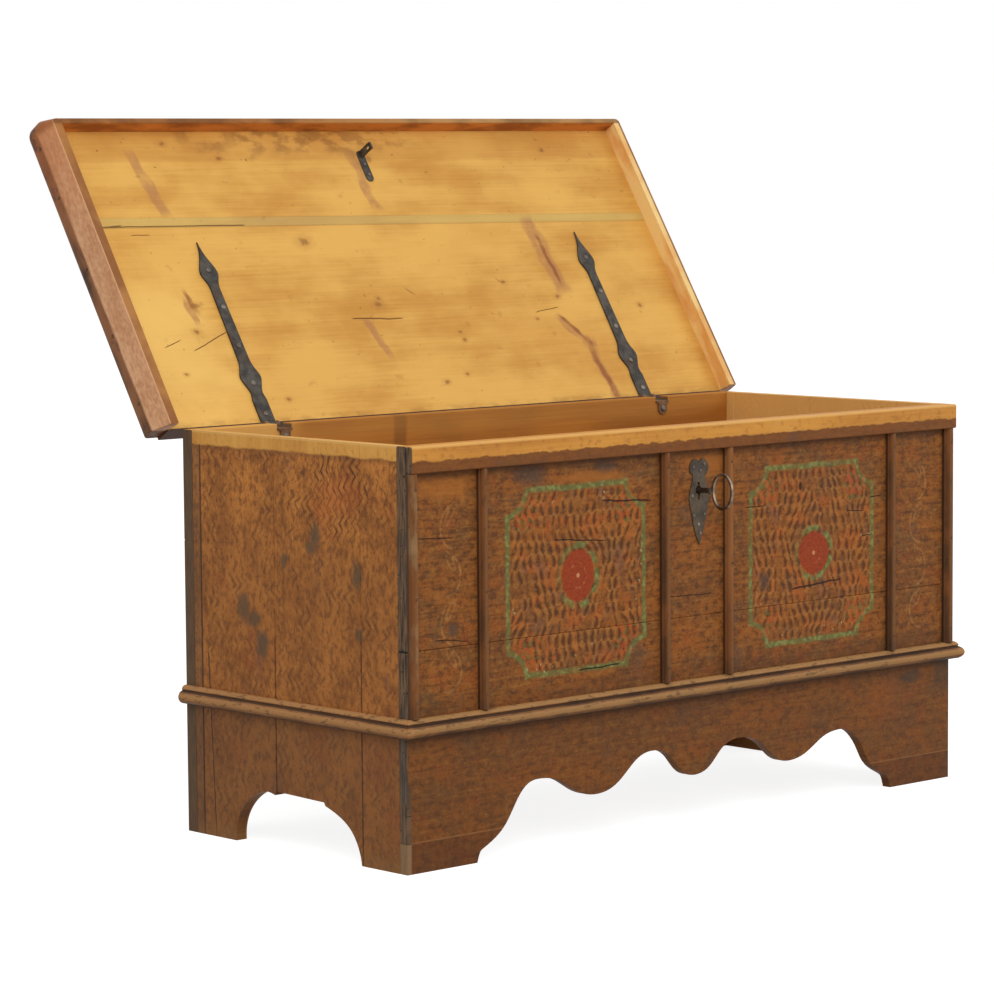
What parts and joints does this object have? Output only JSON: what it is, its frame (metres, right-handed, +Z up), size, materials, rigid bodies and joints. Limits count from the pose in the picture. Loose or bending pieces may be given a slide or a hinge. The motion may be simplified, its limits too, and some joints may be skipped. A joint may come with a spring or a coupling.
{
  "type": "chest",
  "caption": "Open plank chest with painted front panels, sawn bracket feet, strap-hinged lid, hasp lock and key; stores linen and clothes.",
  "frame": {"origin": "on the floor, under the middle of the box that the open chest fills", "axes": "+X along the front to the right, +Y from front to back, +Z up"},
  "size_m": [1.279, 0.931, 1.0992],
  "materials": {
    "front_paint": "old oil paint, brown-red with painted ornament, worn",
    "strip_paint": "brown paint, worn bright on the bead",
    "moulding_paint": "dark brown paint, worn on the edges",
    "side_paint": "combed brown-orange glaze, worn",
    "back_wood": "grey-brown unpainted softwood",
    "bare_pine": "bare aged pine",
    "lid_pine": "golden aged pine inside, brown paint outside",
    "lid_edge": "worn red-brown paint over pine",
    "forged_iron": "dark forged iron, rubbed",
    "nail_iron": "hand-forged nail heads, rubbed bright"
  },
  "bodies": {
    "chest": {"front_lower_board": "front_paint", "front_upper_board": "front_paint", "top_rail": "front_paint", "front_strip_1": "strip_paint", "front_strip_2": "strip_paint", "front_strip_3": "strip_paint", "front_strip_4": "strip_paint", "front_strip_5": "strip_paint", "front_strip_6": "strip_paint", "front_moulding": "moulding_paint", "left_moulding": "moulding_paint", "right_moulding": "moulding_paint", "front_apron": "front_paint", "left_foot_piece": "front_paint", "right_foot_piece": "front_paint", "left_side_plank_1": "side_paint", "left_side_plank_2": "side_paint", "left_side_plank_3": "side_paint", "left_side_plank_4": "side_paint", "right_side_plank_1": "side_paint", "right_side_plank_2": "side_paint", "right_side_plank_3": "side_paint", "right_side_plank_4": "side_paint", "back_lower_board": "back_wood", "back_upper_board": "back_wood", "back_skirt": "back_wood", "floor_board_1": "bare_pine", "floor_board_2": "bare_pine", "floor_board_3": "bare_pine", "left_floor_batten": "bare_pine", "right_floor_batten": "bare_pine", "left_hinge_leaf": "forged_iron", "right_hinge_leaf": "forged_iron", "left_hinge_pin": "forged_iron", "right_hinge_pin": "forged_iron", "lock_plate": "forged_iron", "lock_case": "forged_iron", "lock_spring": "forged_iron", "escutcheon": "forged_iron", "leaf_nails": "nail_iron", "escutcheon_nails": "nail_iron", "lock_nails": "nail_iron", "strip_nails": "nail_iron", "back_nails": "nail_iron"},
    "lid": {"lid_rear_board": "lid_pine", "lid_filler_strip": "lid_pine", "lid_front_board": "lid_pine", "lid_front_rail": "lid_edge", "left_lid_cleat": "lid_edge", "right_lid_cleat": "lid_edge", "left_hinge_strap": "forged_iron", "right_hinge_strap": "forged_iron", "lid_hasp": "forged_iron", "strap_nails": "nail_iron", "hasp_nails": "nail_iron", "cleat_nails": "nail_iron"},
    "drill_pin": {"drill_pin": "forged_iron"},
    "key": {"key": "forged_iron"},
    "bolt": {"lock_bolt": "forged_iron"}
  },
  "joints": [
    {"name": "lid_hinge", "type": "hinge", "parent": "chest", "child": "lid", "pos_m": [0, 0.13552, 0.618], "axis": [1, 0, 0], "range_deg": [0, 122]},
    {"name": "key_turn", "type": "hinge", "parent": "chest", "child": "drill_pin", "pos_m": [0, -0.36748, 0.52], "axis": [0, 1, 0], "range_deg": [0, 180]},
    {"name": "key_withdraw", "type": "slide", "parent": "drill_pin", "child": "key", "axis": [0, -1, 0], "range_m": [0, 0.06]},
    {"name": "bolt_slide", "type": "slide", "parent": "chest", "child": "bolt", "axis": [1, 0, 0], "range_m": [0, 0.014]}
  ],
  "couplings": [
    {"joint": "bolt_slide", "follows": "key_turn", "m_per_rad": 0.00445}
  ]
}
